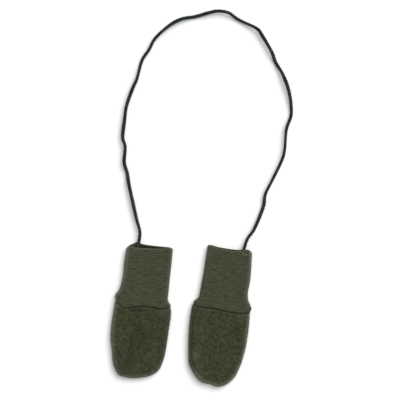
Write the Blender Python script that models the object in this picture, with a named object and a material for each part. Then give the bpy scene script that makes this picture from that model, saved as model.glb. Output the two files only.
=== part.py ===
"""A pair of thumbless baby mittens laid flat, joined by one long cord.

Each mitten is four pieces of cloth work: a wool back and a wool palm, sewn together round their
edge, and a doubled rib cuff, sewn on as a tube. The cord runs from inside one cuff to inside the
other. The mittens lie on the plane z = 0, with their backs up and their mouths towards +Y.

Sizes are in millimetres, and MM turns them into metres where a mesh or an object is made. Each
mitten is drawn in its own frame: the middle of its cuff seam is the origin, "across" runs to the
right and "along" runs towards the mouth. An empty then sets it down at its own lean.
"""
import math
from collections import namedtuple

import bmesh
import bpy
import numpy as np
from mathutils import Vector

MM = 0.001

# ---- cloth and cord ----------------------------------------------------------------------------
PIECE_GAP = 0.3            # between pieces that are sewn together
WOOL_WALL = 3.0            # boiled wool
BODY_HEIGHT = 7.6          # back and palm together, near their edge
BODY_SINK = 1.0            # how far the back settles in its middle
SINK_START = 6.0           # from the edge
SINK_END = 20.0
EDGE_SEAM_HEIGHT = 3.7     # where the back's edge meets the palm's
EDGE_ROLL = 4.6            # how far in from the edge the wool rounds over
LINING_ROLL = 1.6          # the same on the inner face
BODY_END_ROUND = 1.6       # the wool's end at the cuff seam

CUFF_WALL = 1.7            # two thicknesses of fine rib
CUFF_END_ROUND = 1.2
CUFF_LENGTH = 63.0         # nominal; each mouth table gives the true line
RIB_COUNT = 44
RIB_RISE = 0.2
RIB_SHAPE = (-1.0, 0.6, 0.6)    # one rib: a narrow valley and a broad ridge, as shares of the rise
RIB_FADE = (0.15, 0.5)     # shares of the height between which the ribs grow: none underneath
SEAM_REACH = 20.0          # how far from the seam the cloth still follows its line

CORD_DIAMETER = 3.2
CORD_POINT_STEP = 6.0
CORD_BEVEL_RESOLUTION = 2

# ---- grids -------------------------------------------------------------------------------------
EDGE_STEPS = (0.0, 0.5, 1.6, 3.1, 5.0)      # grid lines in from a sewn edge, where the wool rounds
SEAM_STEPS = (0.0, 0.5, 1.7)                # the same at the cuff seam
BODY_WIDTH = 62.0
BODY_LENGTH = 80.0
MIDDLE_COLUMNS = 12
MIDDLE_ROWS = 14
CUFF_ROWS = (0.05, 0.10, 0.16, 0.24, 0.42, 0.70)    # rings of the cuff's outer face
LINING_ROWS = (0.70, 0.16, 0.0)                     # rings of its inner face, as shares of length
SPAN_SAMPLES = 24          # between two points of a smooth line
OUTLINE_SAMPLES = 240
CORD_SAMPLES = 2000
FLAT_ANGLE = 0.1           # degrees; faces closer than this are one flat face
SMOOTH_ANGLE = 50.0        # degrees; edges flatter than this are shaded smooth
MERGE_DISTANCE = 0.001

# ---- tables ------------------------------------------------------------------------------------
Point = namedtuple("Point", "across along")
SeamRow = namedtuple("SeamRow", "across along")
CuffRow = namedtuple("CuffRow", "along left right height")
MouthRow = namedtuple("MouthRow", "across front back")
RoutePoint = namedtuple("RoutePoint", "x y z")

ProfileRow = namedtuple("ProfileRow", "share past depth rib")
# place and lean (in degrees) set the mitten down; tip_start and tip_end count the outline's points
Mitten = namedtuple("Mitten", "side place lean outline tip_start tip_end seam cuff mouth")

# The wool's outline runs down the left side, round the tip and up the right side.
LEFT_OUTLINE = [
    Point(-30.3, 0.0), Point(-30.9, -10.0), Point(-31.3, -25.0), Point(-30.4, -39.0),
    Point(-27.6, -50.0), Point(-25.6, -61.0), Point(-22.2, -69.7), Point(-16.9, -76.6),
    Point(-6.0, -78.3), Point(6.0, -76.9), Point(17.0, -73.4), Point(25.2, -67.0),
    Point(29.3, -56.0), Point(30.9, -42.0), Point(31.4, -22.0), Point(31.7, -8.0),
    Point(30.7, 0.0),
]
RIGHT_OUTLINE = [
    Point(-32.5, 0.0), Point(-33.1, -12.0), Point(-32.8, -26.0), Point(-31.6, -40.0),
    Point(-29.6, -56.0), Point(-27.4, -64.3), Point(-22.1, -72.1), Point(-16.0, -78.7),
    Point(-9.2, -81.7), Point(-3.0, -81.8), Point(5.0, -83.6), Point(11.5, -82.1),
    Point(17.0, -78.2), Point(23.0, -71.0), Point(27.0, -60.0), Point(29.2, -50.0),
    Point(31.0, -36.0), Point(31.4, -20.0), Point(31.0, -8.0), Point(30.7, 0.0),
]

# The line of the cuff seam, which the wool's end and the cuff's end both follow.
LEFT_SEAM = [
    SeamRow(-31.0, 3.2), SeamRow(-26.0, 0.0), SeamRow(-20.5, -3.4), SeamRow(-14.5, -3.3),
    SeamRow(-8.0, -1.1), SeamRow(0.0, 0.5), SeamRow(10.0, 0.7), SeamRow(19.0, 0.2),
    SeamRow(27.0, 0.9), SeamRow(31.0, 2.0),
]
RIGHT_SEAM = [
    SeamRow(-32.0, 2.0), SeamRow(-25.0, -0.3), SeamRow(-16.0, -0.4), SeamRow(-7.0, 0.0),
    SeamRow(0.0, -0.8), SeamRow(7.0, -1.6), SeamRow(15.0, -1.9), SeamRow(23.0, -1.6),
    SeamRow(31.0, 0.4),
]

# The cuff's flattened section, from the seam to the mouth. It is gathered in above the seam.
LEFT_CUFF = [
    CuffRow(0.0, 29.4, 29.9, 7.0), CuffRow(3.0, 30.2, 29.9, 7.2), CuffRow(6.0, 30.7, 28.0, 7.1),
    CuffRow(9.5, 30.0, 26.2, 7.0), CuffRow(14.0, 27.6, 25.8, 6.9), CuffRow(21.0, 26.0, 25.5, 6.9),
    CuffRow(33.0, 25.0, 25.2, 7.0), CuffRow(48.0, 25.3, 25.2, 7.2), CuffRow(64.0, 24.8, 25.0, 7.4),
]
RIGHT_CUFF = [
    CuffRow(0.0, 31.3, 30.4, 7.0), CuffRow(3.0, 31.3, 31.3, 7.2), CuffRow(5.5, 29.4, 31.0, 7.1),
    CuffRow(9.0, 26.6, 29.2, 7.0), CuffRow(14.0, 26.0, 26.6, 6.9), CuffRow(21.0, 25.6, 25.4, 6.9),
    CuffRow(33.0, 24.7, 25.9, 7.0), CuffRow(48.0, 24.4, 25.4, 7.2), CuffRow(64.0, 23.8, 24.4, 7.4),
]

# How far the mouth's upper (front) and under (back) rims stand from the seam.
LEFT_MOUTH = [
    MouthRow(-25.0, 59.8, 60.2), MouthRow(-22.5, 62.0, 63.2), MouthRow(-19.0, 62.6, 65.6),
    MouthRow(-14.5, 62.1, 68.0), MouthRow(-8.0, 62.0, 66.9), MouthRow(0.0, 62.1, 66.4),
    MouthRow(12.0, 63.1, 66.4), MouthRow(20.0, 64.8, 66.4), MouthRow(25.2, 65.1, 65.8),
]
RIGHT_MOUTH = [
    MouthRow(-24.5, 66.2, 66.9), MouthRow(-20.0, 66.3, 67.0), MouthRow(-12.0, 64.5, 65.9),
    MouthRow(-4.0, 63.9, 65.5), MouthRow(4.0, 63.8, 65.4), MouthRow(10.0, 64.6, 65.7),
    MouthRow(16.0, 65.8, 66.6), MouthRow(20.0, 66.1, 66.9), MouthRow(22.7, 65.2, 65.8),
    MouthRow(25.0, 62.4, 62.9),
]

MITTENS = [
    Mitten("left", (-41.8, 9.2), 6.9, LEFT_OUTLINE, 6, 11, LEFT_SEAM, LEFT_CUFF, LEFT_MOUTH),
    Mitten("right", (43.8, 6.1), 7.3, RIGHT_OUTLINE, 6, 13, RIGHT_SEAM, RIGHT_CUFF, RIGHT_MOUTH),
]

# The cord's route, from inside the left cuff, over the surface, to inside the right cuff.
CORD_REST = 1.7            # the height of its middle where it lies on the surface
CORD_HELD = 3.7            # the same inside a cuff, just clear of the cuff's under layer
CORD_ARCH = 3.7            # where the springy cord arches clear of the surface
CORD_ROUTE = [
    RoutePoint(-47.5, 61.5, CORD_HELD), RoutePoint(-46.8, 73.0, CORD_HELD),
    RoutePoint(-44.7, 88.5, CORD_ARCH), RoutePoint(-48.6, 104.5, CORD_ARCH),
    RoutePoint(-56.3, 139.5, CORD_ARCH), RoutePoint(-58.5, 153.0, CORD_REST),
    RoutePoint(-61.6, 164.5, CORD_ARCH), RoutePoint(-60.6, 181.0, CORD_ARCH),
    RoutePoint(-63.2, 191.5, CORD_ARCH), RoutePoint(-61.2, 210.0, CORD_ARCH),
    RoutePoint(-59.0, 225.5, CORD_ARCH), RoutePoint(-52.6, 243.8, CORD_ARCH),
    RoutePoint(-47.9, 254.4, CORD_ARCH), RoutePoint(-42.5, 274.3, CORD_REST),
    RoutePoint(-35.0, 285.5, CORD_ARCH), RoutePoint(-27.7, 298.6, CORD_ARCH),
    RoutePoint(-12.3, 312.3, CORD_ARCH), RoutePoint(0.6, 318.9, CORD_ARCH),
    RoutePoint(15.5, 321.8, CORD_REST), RoutePoint(30.5, 325.8, CORD_ARCH),
    RoutePoint(40.0, 327.4, CORD_ARCH), RoutePoint(51.0, 325.4, CORD_ARCH),
    RoutePoint(61.6, 318.4, CORD_REST), RoutePoint(80.6, 308.9, CORD_ARCH),
    RoutePoint(86.7, 301.5, CORD_ARCH), RoutePoint(97.4, 283.1, CORD_ARCH),
    RoutePoint(101.5, 272.6, CORD_REST), RoutePoint(109.5, 258.5, CORD_ARCH),
    RoutePoint(116.2, 239.5, CORD_ARCH), RoutePoint(118.6, 217.0, CORD_REST),
    RoutePoint(113.2, 200.0, CORD_ARCH), RoutePoint(111.2, 177.5, CORD_ARCH),
    RoutePoint(108.0, 166.0, CORD_ARCH), RoutePoint(98.3, 146.0, CORD_ARCH),
    RoutePoint(90.5, 130.0, CORD_ARCH), RoutePoint(88.4, 116.5, CORD_REST),
    RoutePoint(78.8, 93.0, CORD_ARCH), RoutePoint(71.5, 82.4, CORD_ARCH),
    RoutePoint(67.8, 72.0, CORD_HELD), RoutePoint(64.8, 60.5, CORD_HELD),
]

# ---- colours -----------------------------------------------------------------------------------
Cloth = namedtuple("Cloth", "name colour roughness")
WOOL = Cloth("wool_fleece", (0.044, 0.051, 0.027), 0.95)
RIB = Cloth("rib_knit", (0.060, 0.067, 0.039), 0.90)
YARN = Cloth("cord_yarn", (0.012, 0.018, 0.013), 0.85)


def clear_scene():
    for scene_object in list(bpy.data.objects):
        bpy.data.objects.remove(scene_object, do_unlink=True)


def cloth_material(cloth):
    material = bpy.data.materials.new(cloth.name)
    material.use_nodes = True
    shader = material.node_tree.nodes["Principled BSDF"]
    shader.inputs["Base Color"].default_value = (*cloth.colour, 1.0)
    shader.inputs["Roughness"].default_value = cloth.roughness
    shader.inputs["Metallic"].default_value = 0.0
    return material


# ---- curves and tables -------------------------------------------------------------------------
def blend(value, start, end):
    """0 before start, 1 after end, and a smooth step between them."""
    t = min(max((value - start) / (end - start), 0.0), 1.0)
    return t * t * (3.0 - 2.0 * t)


def round_over(distance, radius):
    """The height of a quarter circle at this distance in from its edge, as a share of 1."""
    t = min(max(distance / radius, 0.0), 1.0)
    return math.sqrt(1.0 - (1.0 - t) ** 2)


def read_table(rows, key, name, value):
    """A column of a table at a value of its key, read from a smooth curve through its rows."""
    keys = [getattr(row, key) for row in rows]
    column = [getattr(row, name) for row in rows]
    value = min(max(value, keys[0]), keys[-1])
    slopes = []
    for i in range(len(keys)):
        before = max(i - 1, 0)
        after = min(i + 1, len(keys) - 1)
        slopes.append((column[after] - column[before]) / (keys[after] - keys[before]))
    i = min(max(int(np.searchsorted(keys, value)) - 1, 0), len(keys) - 2)
    span = keys[i + 1] - keys[i]
    t = (value - keys[i]) / span
    return ((2 * t ** 3 - 3 * t ** 2 + 1) * column[i] + (t ** 3 - 2 * t ** 2 + t) * span * slopes[i]
            + (3 * t ** 2 - 2 * t ** 3) * column[i + 1] + (t ** 3 - t ** 2) * span * slopes[i + 1])


def smooth_line(points, samples):
    """Points evenly spaced along a smooth curve through the given ones."""
    points = np.array(points, dtype=float)
    ends = np.vstack([2 * points[0] - points[1], points, 2 * points[-1] - points[-2]])
    fine = []
    for p0, p1, p2, p3 in zip(ends[:-3], ends[1:-2], ends[2:-1], ends[3:]):
        for t in np.linspace(0.0, 1.0, SPAN_SAMPLES, endpoint=False):
            fine.append(0.5 * (2 * p1 + (p2 - p0) * t + (2 * p0 - 5 * p1 + 4 * p2 - p3) * t ** 2
                               + (3 * p1 - p0 - 3 * p2 + p3) * t ** 3))
    fine.append(points[-1])
    return spread(np.array(fine), np.linspace(0.0, 1.0, samples))


def spread(line, shares):
    """The points of a line at these shares of its length."""
    lengths = np.concatenate([[0.0], np.cumsum(np.linalg.norm(np.diff(line, axis=0), axis=1))])
    return np.column_stack([np.interp(shares * lengths[-1], lengths, axis) for axis in line.T])


def grid_shares(first_steps, last_steps, middle, size):
    """Grid lines as shares of a size: set steps in from each end, and even ones between them."""
    first = [step / size for step in first_steps]
    last = [1 - step / size for step in reversed(last_steps)]
    return first + list(np.linspace(first[-1], last[0], middle + 1)[1:-1]) + last


def inset_line(line, distance):
    """A line moved to its left, which is inwards for an outline that runs down, round and up."""
    heading = np.gradient(line, axis=0)
    heading /= np.linalg.norm(heading, axis=1)[:, None]
    return line + distance * np.column_stack([-heading[:, 1], heading[:, 0]])


# ---- the wool body -----------------------------------------------------------------------------
class BodyPatch:
    """The four-sided patch inside a body's outline: cuff seam, left side, tip and right side."""

    def __init__(self, mitten, inset):
        whole = smooth_line(mitten.outline, OUTLINE_SAMPLES)
        self.edge = inset_line(whole, inset)
        corners = [self.nearest(whole, mitten.outline[mitten.tip_start]),
                   self.nearest(whole, mitten.outline[mitten.tip_end])]
        self.left = self.edge[:corners[0] + 1]
        self.tip = self.edge[corners[0]:corners[1] + 1]
        self.right = self.edge[corners[1]:][::-1]
        self.left[0][1] = 0.0
        self.right[0][1] = 0.0

    @staticmethod
    def nearest(line, point):
        return int(np.argmin(np.linalg.norm(line - np.array(point), axis=1)))

    def point(self, a, b):
        """The place at share a of the way from the left side, and b of the way from the seam."""
        left, right = spread(self.left, np.array([b]))[0], spread(self.right, np.array([b]))[0]
        tip = spread(self.tip, np.array([a]))[0]
        seam = (1 - a) * self.left[0] + a * self.right[0]
        corners = ((1 - a) * (1 - b) * self.left[0] + a * (1 - b) * self.right[0]
                   + (1 - a) * b * self.left[-1] + a * b * self.right[-1])
        return (1 - b) * seam + b * tip + (1 - a) * left + a * right - corners

    def distance(self, place):
        """How far in from the sewn edge a place lies."""
        starts, steps = self.edge[:-1], np.diff(self.edge, axis=0)
        shares = np.einsum("ij,ij->i", place - starts, steps) / np.einsum("ij,ij->i", steps, steps)
        feet = starts + np.clip(shares, 0.0, 1.0)[:, None] * steps
        return float(np.min(np.linalg.norm(place - feet, axis=1)))


def seam_shift(mitten, across, along):
    """How far cloth at this place is carried along by the line of the cuff seam."""
    return read_table(mitten.seam, "across", "along", across) * (1 - blend(abs(along), 0, SEAM_REACH))


def sink(distance):
    return BODY_SINK * blend(distance, SINK_START, SINK_END)


def outer_back_height(distance, along):
    rim = EDGE_SEAM_HEIGHT + PIECE_GAP / 2
    rise = BODY_HEIGHT - sink(distance) - rim
    end_drop = BODY_END_ROUND / rise * (1 - round_over(-along, BODY_END_ROUND))
    return rim + rise * round_over(distance, EDGE_ROLL) * (1 - end_drop)


def inner_back_height(distance, along):
    rim = EDGE_SEAM_HEIGHT + PIECE_GAP / 2
    rise = BODY_HEIGHT - WOOL_WALL - sink(distance + WOOL_WALL) - rim
    return rim + rise * round_over(distance, LINING_ROLL)


def outer_palm_height(distance, along):
    rim = EDGE_SEAM_HEIGHT - PIECE_GAP / 2
    end_drop = BODY_END_ROUND / rim * (1 - round_over(-along, BODY_END_ROUND))
    return rim * (1 - round_over(distance, EDGE_ROLL) * (1 - end_drop))


def inner_palm_height(distance, along):
    rim = EDGE_SEAM_HEIGHT - PIECE_GAP / 2
    return rim - (rim - WOOL_WALL) * round_over(distance, LINING_ROLL)


def lay_sheet(mesh, mitten, inset, height):
    """One face of a panel: a grid over the patch, raised to a height that depends on its place."""
    patch = BodyPatch(mitten, inset)
    edge_steps = [step * (1 - inset / EDGE_STEPS[-1]) for step in EDGE_STEPS]
    columns = grid_shares(edge_steps, edge_steps, MIDDLE_COLUMNS, BODY_WIDTH - 2 * inset)
    rows = grid_shares(SEAM_STEPS, edge_steps, MIDDLE_ROWS, BODY_LENGTH - inset)
    made = bmesh.ops.create_grid(mesh, x_segments=len(columns) - 1, y_segments=len(rows) - 1,
                                 size=0.5)
    for vertex in made["verts"]:
        column = round((vertex.co.x + 0.5) * (len(columns) - 1))
        row = round((vertex.co.y + 0.5) * (len(rows) - 1))
        place = patch.point(columns[column], rows[row])
        across, along = place
        z = height(patch.distance(place), along)
        along += seam_shift(mitten, across, along) - PIECE_GAP / 2
        vertex.co = Vector((across, along, z)) * MM


def make_panel(mitten, name, outer_height, inner_height, material):
    """A shallow tray of wool whose rim meets the other panel's rim."""
    mesh = bmesh.new()
    lay_sheet(mesh, mitten, 0.0, outer_height)
    lay_sheet(mesh, mitten, WOOL_WALL, inner_height)
    rims = [edge for edge in mesh.edges if edge.is_boundary]
    bmesh.ops.bridge_loops(mesh, edges=rims)
    return finish_piece(mesh, f"{mitten.side}_{name}", material)


# ---- the rib cuff ------------------------------------------------------------------------------
def section_point(row_left, row_right, height, share, inset):
    """A place on a flattened tube's section, as across, z and the outward direction.

    The share runs once round: under layer from left to right, right turn, upper layer, left turn.
    """
    turn = height / 2
    straight = row_left + row_right - height
    distance = share * (2 * straight + 2 * math.pi * turn)
    if distance < straight:
        return -row_left + turn + distance, inset, (0.0, -1.0)
    distance -= straight
    if distance < math.pi * turn:
        angle = distance / turn - math.pi / 2
        centre = row_right - turn
    elif distance < math.pi * turn + straight:
        return row_right - turn - (distance - math.pi * turn), height - inset, (0.0, 1.0)
    else:
        angle = (distance - math.pi * turn - straight) / turn + math.pi / 2
        centre = -row_left + turn
    out = (math.cos(angle), math.sin(angle))
    return centre + (turn - inset) * out[0], turn + (turn - inset) * out[1], out


def cuff_profile():
    """The rings that make the wall: sewn end, outer face, mouth fold and inner face.

    A row gives a ring's share of the cuff's length, how far past that it stands, how deep in the
    wall it lies, and how much of the ribs it carries.
    """
    end = CUFF_END_ROUND
    half_turn = math.sin(math.pi / 4)
    rows = [ProfileRow(0.0, 0.0, end, 0.0),
            ProfileRow(0.0, end * (1 - half_turn), end * (1 - half_turn), 0.0),
            ProfileRow(0.0, end, 0.0, 0.5)]
    rows += [ProfileRow(share, 0.0, 0.0, 1.0) for share in CUFF_ROWS]
    fold = CUFF_WALL / 2
    for turn, rib in ((0.0, 1.0), (1 / 3, 0.7), (2 / 3, 0.0), (1.0, 0.0)):
        rows.append(ProfileRow(1.0, fold * (math.sin(turn * math.pi) - 1),
                               fold * (1 - math.cos(turn * math.pi)), rib))
    rows += [ProfileRow(share, 0.0, CUFF_WALL, 0.0) for share in LINING_ROWS]
    return rows


def make_cuff(mitten, material):
    """A doubled rib tube: the profile swept round the flattened section, closed both ways."""
    profile = cuff_profile()
    around = len(RIB_SHAPE) * RIB_COUNT
    mesh = bmesh.new()
    grid = bmesh.ops.create_grid(mesh, x_segments=around, y_segments=len(profile), size=0.5)
    for vertex in grid["verts"]:
        step = round((vertex.co.x + 0.5) * around) % around
        ring = profile[round((vertex.co.y + 0.5) * len(profile)) % len(profile)]
        along = ring.share * CUFF_LENGTH + ring.past
        left, right, height = (read_table(mitten.cuff, "along", name, along)
                               for name in ("left", "right", "height"))
        across, z, out = section_point(left, right, height, step / around, ring.depth)
        upper = z / height
        front, back = (read_table(mitten.mouth, "across", name, across)
                       for name in ("front", "back"))
        along = ring.share * (back + (front - back) * upper) + ring.past
        along += seam_shift(mitten, across, along) + PIECE_GAP / 2
        raised = RIB_RISE * ring.rib * blend(upper, *RIB_FADE) * RIB_SHAPE[step % len(RIB_SHAPE)]
        vertex.co = Vector((across + raised * out[0], along, z + raised * out[1])) * MM
    bmesh.ops.remove_doubles(mesh, verts=mesh.verts, dist=MERGE_DISTANCE * MM)
    return finish_piece(mesh, f"{mitten.side}_cuff", material)


# ---- the cord ----------------------------------------------------------------------------------
def make_cord(material):
    fine = smooth_line(CORD_ROUTE, CORD_SAMPLES)
    length = np.linalg.norm(np.diff(fine, axis=0), axis=1).sum()
    points = spread(fine, np.linspace(0.0, 1.0, round(length / CORD_POINT_STEP) + 1))
    curve = bpy.data.curves.new("cord", "CURVE")
    curve.dimensions = "3D"
    curve.bevel_depth = CORD_DIAMETER / 2 * MM
    curve.bevel_resolution = CORD_BEVEL_RESOLUTION
    curve.use_fill_caps = True
    line = curve.splines.new("POLY")
    line.points.add(len(points) - 1)
    for point, place in zip(line.points, points):
        point.co = (*(place * MM), 1.0)
    curve.materials.append(material)
    cord = bpy.data.objects.new("cord", curve)
    bpy.context.scene.collection.objects.link(cord)
    return cord


# ---- assembly ----------------------------------------------------------------------------------
def finish_piece(mesh, name, material):
    bmesh.ops.dissolve_limit(mesh, angle_limit=math.radians(FLAT_ANGLE), verts=mesh.verts,
                             edges=mesh.edges)
    bmesh.ops.recalc_face_normals(mesh, faces=mesh.faces)
    data = bpy.data.meshes.new(name)
    mesh.to_mesh(data)
    mesh.free()
    data.materials.append(material)
    data.shade_smooth()
    data.set_sharp_from_angle(angle=math.radians(SMOOTH_ANGLE))
    piece = bpy.data.objects.new(name, data)
    bpy.context.scene.collection.objects.link(piece)
    return piece


def make_mitten(mitten, wool, rib):
    frame = bpy.data.objects.new(f"{mitten.side}_mitten", None)
    bpy.context.scene.collection.objects.link(frame)
    frame.location = (mitten.place[0] * MM, mitten.place[1] * MM, 0.0)
    frame.rotation_euler = (0.0, 0.0, -math.radians(mitten.lean))
    pieces = [
        make_panel(mitten, "back", outer_back_height, inner_back_height, wool),
        make_panel(mitten, "palm", outer_palm_height, inner_palm_height, wool),
        make_cuff(mitten, rib),
    ]
    for piece in pieces:
        piece.parent = frame


def main():
    clear_scene()
    wool = cloth_material(WOOL)
    rib = cloth_material(RIB)
    yarn = cloth_material(YARN)
    for mitten in MITTENS:
        make_mitten(mitten, wool, rib)
    make_cord(yarn)


main()
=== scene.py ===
"""The looks of a pair of baby mittens: boiled wool bodies, fine rib cuffs and one twisted cord.

Each panel of wool is a finer copy of its CAD node, felted and creased. Each cuff is knitted again
on the flattened tube of its CAD node, rib by rib. The cord is three strands laid round the route of
its CAD node. Sizes are in millimetres, angles in degrees, and MM turns millimetres into metres. A
mitten's own frame has its origin in the middle of the cuff seam, "across" to the right and "along"
towards the mouth.
"""
import math
from collections import namedtuple
from functools import partial

import bmesh
import bpy
import numpy as np
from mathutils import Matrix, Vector, kdtree, noise


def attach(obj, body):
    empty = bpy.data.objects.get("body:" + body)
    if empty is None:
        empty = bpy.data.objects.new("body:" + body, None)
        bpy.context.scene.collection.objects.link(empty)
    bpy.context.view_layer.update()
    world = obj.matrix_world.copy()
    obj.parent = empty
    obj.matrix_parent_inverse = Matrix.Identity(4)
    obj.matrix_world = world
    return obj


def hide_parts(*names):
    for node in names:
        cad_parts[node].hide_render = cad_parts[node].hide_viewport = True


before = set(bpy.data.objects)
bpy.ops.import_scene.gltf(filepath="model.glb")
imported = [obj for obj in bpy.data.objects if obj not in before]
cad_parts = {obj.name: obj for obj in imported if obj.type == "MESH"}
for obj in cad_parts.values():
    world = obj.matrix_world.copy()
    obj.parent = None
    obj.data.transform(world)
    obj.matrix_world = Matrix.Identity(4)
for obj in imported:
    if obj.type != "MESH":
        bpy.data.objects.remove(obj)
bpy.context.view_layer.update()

MM = 0.001
BODY = "root"

# ---- camera, floor and light -------------------------------------------------------------------
VIEW_CENTRE = (20.05, 123.8)
VIEW_WIDTH = 432.0
CAMERA_HEIGHT = 1500.0
CAMERA_REACH = 20000.0
SENSOR_WIDTH = 36.0
FLOOR_SIZE = 4000.0
FLOOR_TONE = 0.93
SKY_STRENGTH = 0.66
LAMP_STRENGTH = 2.90
LAMP_SPREAD = 50.0          # its width in the sky, so its shadows are soft
LAMP_TILT = 52.0            # from straight above
LAMP_SIDE = 49.0            # from +X towards +Y

# ---- cord --------------------------------------------------------------------------------------
CORD_DIAMETER = 3.2
CORD_REST = 1.7             # height of its middle where it rests on the surface
CORD_HELD = 3.7             # where a cuff holds it
CORD_ARCH = 3.7             # and where, being springy, it arches clear
CORD_STRANDS = 3
CORD_TURN = 10.5            # along the cord for one turn of the strands
STRAND_RADIUS = 1.05
STRAND_OFFSET = 0.86        # from the cord's middle to a strand's
STRAND_SIDES = 8
TUBE_END = 0.5              # share of a strand's or thread's radius left at its closed ends
PLY_COUNT = 3.0             # round one strand
PLY_PITCH = 2.4             # and along it
CORD_STEP = 0.95
CORD_UNEVEN = 0.25          # how much its thickness varies
CORD_LUMP = 22.0            # over this length
PATH_STEP = 4.0
CURVE_STEPS = 24            # between two given points of a smooth line

RoutePoint = namedtuple("RoutePoint", "x y z")
CORD_ROUTE = [
    RoutePoint(-47.5, 61.5, CORD_HELD), RoutePoint(-46.8, 73.0, CORD_HELD),
    RoutePoint(-44.7, 88.5, CORD_ARCH), RoutePoint(-48.6, 104.5, CORD_ARCH),
    RoutePoint(-56.3, 139.5, CORD_ARCH), RoutePoint(-58.5, 153.0, CORD_REST),
    RoutePoint(-61.6, 164.5, CORD_ARCH), RoutePoint(-60.6, 181.0, CORD_ARCH),
    RoutePoint(-63.2, 191.5, CORD_ARCH), RoutePoint(-61.2, 210.0, CORD_ARCH),
    RoutePoint(-59.0, 225.5, CORD_ARCH), RoutePoint(-52.6, 243.8, CORD_ARCH),
    RoutePoint(-47.9, 254.4, CORD_ARCH), RoutePoint(-42.5, 274.3, CORD_REST),
    RoutePoint(-35.0, 285.5, CORD_ARCH), RoutePoint(-27.7, 298.6, CORD_ARCH),
    RoutePoint(-12.3, 312.3, CORD_ARCH), RoutePoint(0.6, 318.9, CORD_ARCH),
    RoutePoint(15.5, 321.8, CORD_REST), RoutePoint(30.5, 325.8, CORD_ARCH),
    RoutePoint(40.0, 327.4, CORD_ARCH), RoutePoint(51.0, 325.4, CORD_ARCH),
    RoutePoint(61.6, 318.4, CORD_REST), RoutePoint(80.6, 308.9, CORD_ARCH),
    RoutePoint(86.7, 301.5, CORD_ARCH), RoutePoint(97.4, 283.1, CORD_ARCH),
    RoutePoint(101.5, 272.6, CORD_REST), RoutePoint(109.5, 258.5, CORD_ARCH),
    RoutePoint(116.2, 239.5, CORD_ARCH), RoutePoint(118.6, 217.0, CORD_REST),
    RoutePoint(113.2, 200.0, CORD_ARCH), RoutePoint(111.2, 177.5, CORD_ARCH),
    RoutePoint(108.0, 166.0, CORD_ARCH), RoutePoint(98.3, 146.0, CORD_ARCH),
    RoutePoint(90.5, 130.0, CORD_ARCH), RoutePoint(88.4, 116.5, CORD_REST),
    RoutePoint(78.8, 93.0, CORD_ARCH), RoutePoint(71.5, 82.4, CORD_ARCH),
    RoutePoint(67.8, 72.0, CORD_HELD), RoutePoint(64.8, 60.5, CORD_HELD),
]

# ---- mittens -----------------------------------------------------------------------------------
PIECE_GAP = 0.3
CUFF_LENGTH = 63.0
CUFF_WALL = 1.7
CUFF_END_ROUND = 1.2
SEAM_REACH = 20.0           # how far from the cuff seam the cloth follows its line

CUFF_GIRTH = 108.0
RIB_COUNT = 44
RIB_PITCH = CUFF_GIRTH / RIB_COUNT
RIB_POINTS = 10             # round one rib
RIB_RISE = 0.13
RIB_CROWN = 0.6             # times that, how far a rib's crown stands out from the plain tube
RIB_DROP = 1.6              # times that, from a crown down to a valley
RIB_VALLEY = 0.17           # half a valley's width, as a share of a rib
RIBS_BEGIN = (-0.02, 0.04)  # share of the length over which the ribs rise from the sewn end
END_RIBBED = 0.5            # share of the ribs' rise round the sewn end
# A cuff's ribs are sunk flush below the first of these shares of its height, where it lies on the
# surface, and stand out in full above the second.
PRESSED_UNDER = (0.1, 0.5)
ROW_STEP = 0.7              # between rings of the cuff's outer face
END_ROWS = 4
FOLD_ROWS = 8
LINING_FINE = 16.0          # how deep into the mouth the lining is as fine as the outside
LINING_ROWS = 8
LINING_RIBBED = 0.4         # share of the ribs' rise on the lining
LINING_SMOOTH = 8.0         # how deep in the mouth it starts to fade
FOLD_INSIDE = (1.2, 2.6)    # radians round the fold between which outside turns into lining
LINING_START = 1.9          # past the fold's start, where the painted shade of the unlit inside begins
LINING_FULL = 4.2
RIM_SHADED = 0.6            # how much sooner the painted shade starts on the under layer, whose fold faces up
RIM_LIT = 2.4               # and how much later where the cord's end lifts its rim into the light,
RIM_LIT_END = (-14.0, -11.0)    # which fades out between these two, across
UNDER_LAYER = (2.0, 4.0)    # the heights between which the under layer turns into the upper one
COURSE = 1.5                # one row of knit stitches
COURSE_SKEW = -4.0          # degrees by which the melange streaks lie off the cloth's own square
STREAK_STRETCH = 5.0        # how much longer a streak is than it is wide
BAND = 4.3                  # between two slacker courses, which lie a little deeper
BAND_RISE = 0.07
BAND_WIDTH = 0.22           # half a slack course's width, as a share of the band
BAND_WANDER = 1.2           # how far such a course wanders along, in waves of these sizes
WANDER_ACROSS = 9.0
WANDER_ALONG = 11.0
WANDER_BEND = 1.3
HEM_LINE = 5.0              # from the fold at the mouth to the faint line where the double ends
HEM_WIDTH = 0.6
HEM_DEPTH = 0.12

SEAM_INSET = 0.75           # of the seam's yarn, below the cloth's outer face
SEAM_RADIUS = 0.50
SEAM_STEP = 0.3
STITCH_PITCH = 2.1
WOUND_RADIUS = 0.22
THREAD_RADIUS = 0.42
THREAD_SIDES = 6
STITCH_RISE = 0.35          # how high a stitch arches over the cloth
STITCH_STEPS = 7
STITCH_SLOPE = 0.4          # how soon a stitch comes down beside the cord

SeamRow = namedtuple("SeamRow", "across along")
CuffRow = namedtuple("CuffRow", "along left right height")
MouthRow = namedtuple("MouthRow", "across front back")

# A ring of a cuff's doubled wall: its share of the cuff's length, how far past that it stands, how
# deep in the wall it lies, how much of the ribs it carries, how far along the cloth it is, and
# whether it is lining.
Ring = namedtuple("Ring", "reach past depth ribbed cloth lining")

# "worn_side" and "worn_tip" are how much the felt is teased, with painted sheen, on the side worn
# outwards and round the tip, and "gathered" is where, across, the cuff seam is gathered most.
Mitten = namedtuple("Mitten", "side place lean seam cuff mouth worn_side worn_tip gathered")

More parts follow.
